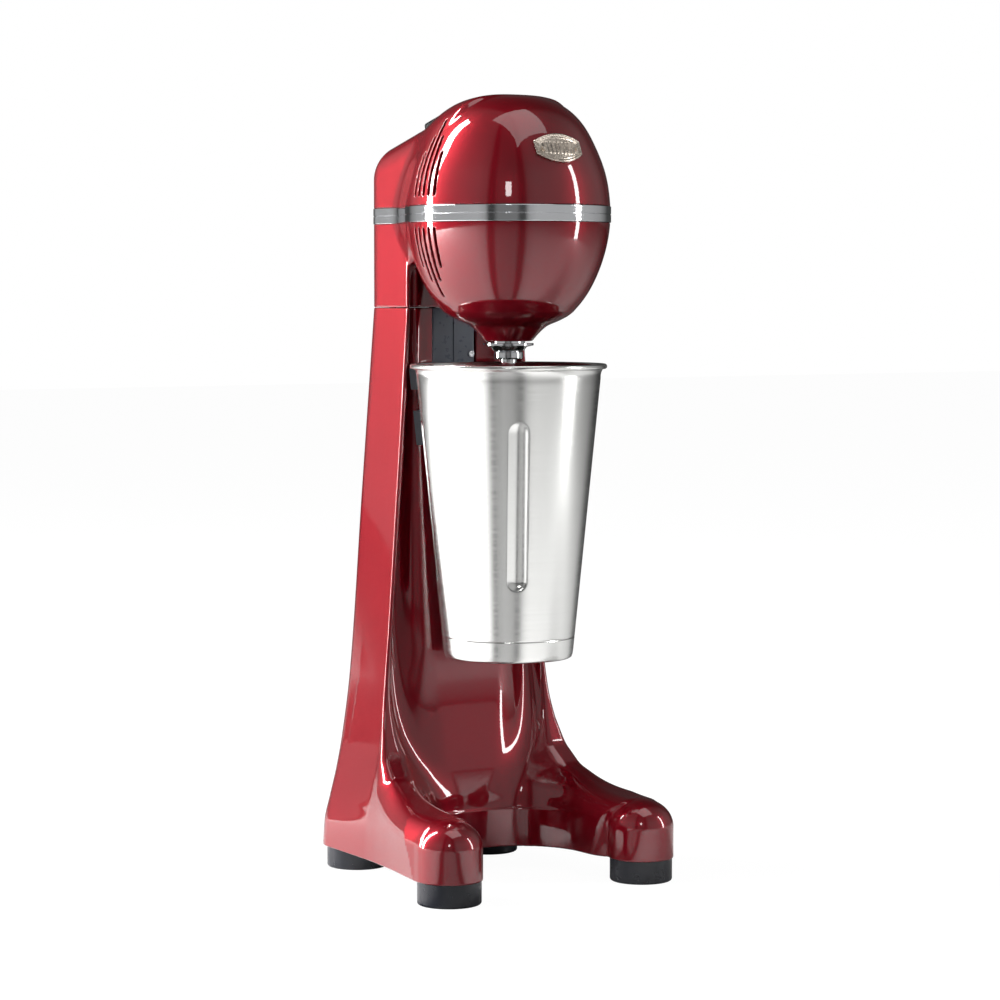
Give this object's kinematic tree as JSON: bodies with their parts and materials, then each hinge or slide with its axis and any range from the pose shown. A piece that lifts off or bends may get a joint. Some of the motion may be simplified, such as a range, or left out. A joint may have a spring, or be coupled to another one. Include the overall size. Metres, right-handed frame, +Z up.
{
  "type": "milkshake mixer",
  "caption": "Single-spindle drink mixer: cast stand on rubber feet, ball motor head with trim band, steel cup hung under a turning spindle.",
  "frame": {"origin": "on the floor, under the middle of the bounding box; the spindle axis stands 28.4 mm in front of it", "axes": "+Z up along the spindle, -Y to the front, where the cup and badge are, +X to the object's left as it looks out at the user"},
  "size_m": [0.1808, 0.1812, 0.48],
  "materials": {
    "red_paint": "gloss metallic candy red over cast aluminium",
    "chrome_trim": "polished chrome",
    "stainless": "fine circumferential brushing",
    "champagne_nickel": "warm nickel plate, satin",
    "foot_rubber": "moulded black rubber",
    "panel_plastic": "dark grey moulded plastic, satin",
    "black_plastic": "black moulded plastic",
    "clear_cover": "flexible clear boot",
    "zinc_steel": "zinc plated steel",
    "bearing_steel": "ground bearing steel",
    "lamination": "electrical steel laminations",
    "copper": "enamelled copper",
    "carbon": "pressed carbon",
    "cast_bracket": "bare die-cast aluminium",
    "wire_sleeve": "PVC insulation",
    "seal_rubber": "nitrile rubber"
  },
  "bodies": {
    "stand": {"stand_casting": "red_paint", "head_casting": "red_paint", "top_cover": "red_paint", "trim_band": "chrome_trim", "badge": "champagne_nickel", "badge_pins": "champagne_nickel", "foot_front_left": "foot_rubber", "foot_front_right": "foot_rubber", "foot_back_left": "foot_rubber", "foot_back_right": "foot_rubber", "foot_screws": "zinc_steel", "base_plate": "zinc_steel", "base_plate_screws": "zinc_steel", "front_panel": "panel_plastic", "panel_screws": "zinc_steel", "cup_hook": "black_plastic", "cup_cradle": "black_plastic", "bracket_screws": "zinc_steel", "cup_sensor_switch": "black_plastic", "shaft_seal": "seal_rubber", "lower_bearing": "bearing_steel", "upper_bearing": "bearing_steel", "bearing_clip": "bearing_steel", "stator_core": "lamination", "field_coils": "copper", "motor_plate": "cast_bracket", "motor_plate_screws": "zinc_steel", "motor_top_bracket": "cast_bracket", "motor_spacers": "zinc_steel", "motor_bolts": "zinc_steel", "brush_holders": "black_plastic", "carbon_brushes": "carbon", "brush_springs": "zinc_steel", "head_bolts": "zinc_steel", "cover_screws": "zinc_steel", "switch_housing": "black_plastic", "switch_cover": "clear_cover", "terminal_block": "black_plastic", "suppression_capacitor": "panel_plastic", "cable_gland": "black_plastic", "wiring": "wire_sleeve"},
    "rotor": {"motor_shaft": "bearing_steel", "armature_core": "lamination", "armature_windings": "copper", "commutator": "copper", "cooling_fan": "black_plastic", "shaft_coupling": "cast_bracket", "coupling_screws": "zinc_steel", "spindle": "chrome_trim", "slinger_disc": "chrome_trim", "spindle_collar": "chrome_trim", "agitator": "stainless", "agitator_nut": "stainless"},
    "cup": {"cup": "stainless"},
    "rocker": {"rocker_button": "black_plastic"},
    "cup_sensor": {"cup_sensor_plunger": "black_plastic"}
  },
  "joints": [
    {"name": "spindle_spin", "type": "hinge", "parent": "stand", "child": "rotor", "pos_m": [0, -0.0284, 0.34], "axis": [0, 0, 1], "continuous": true},
    {"name": "cup_lift", "type": "slide", "parent": "stand", "child": "cup", "axis": [0, 0, 1], "range_m": [0, 0.012]},
    {"name": "rocker_tilt", "type": "hinge", "parent": "stand", "child": "rocker", "pos_m": [0, 0.03492, 0.45882], "axis": [1, 0, 0], "range_deg": [0, 18]},
    {"name": "cup_sensor_press", "type": "slide", "parent": "stand", "child": "cup_sensor", "axis": [0, 1, 0], "range_m": [0, 0.0025], "stiffness_N_per_m": 200, "springref_m": -0.002}
  ]
}
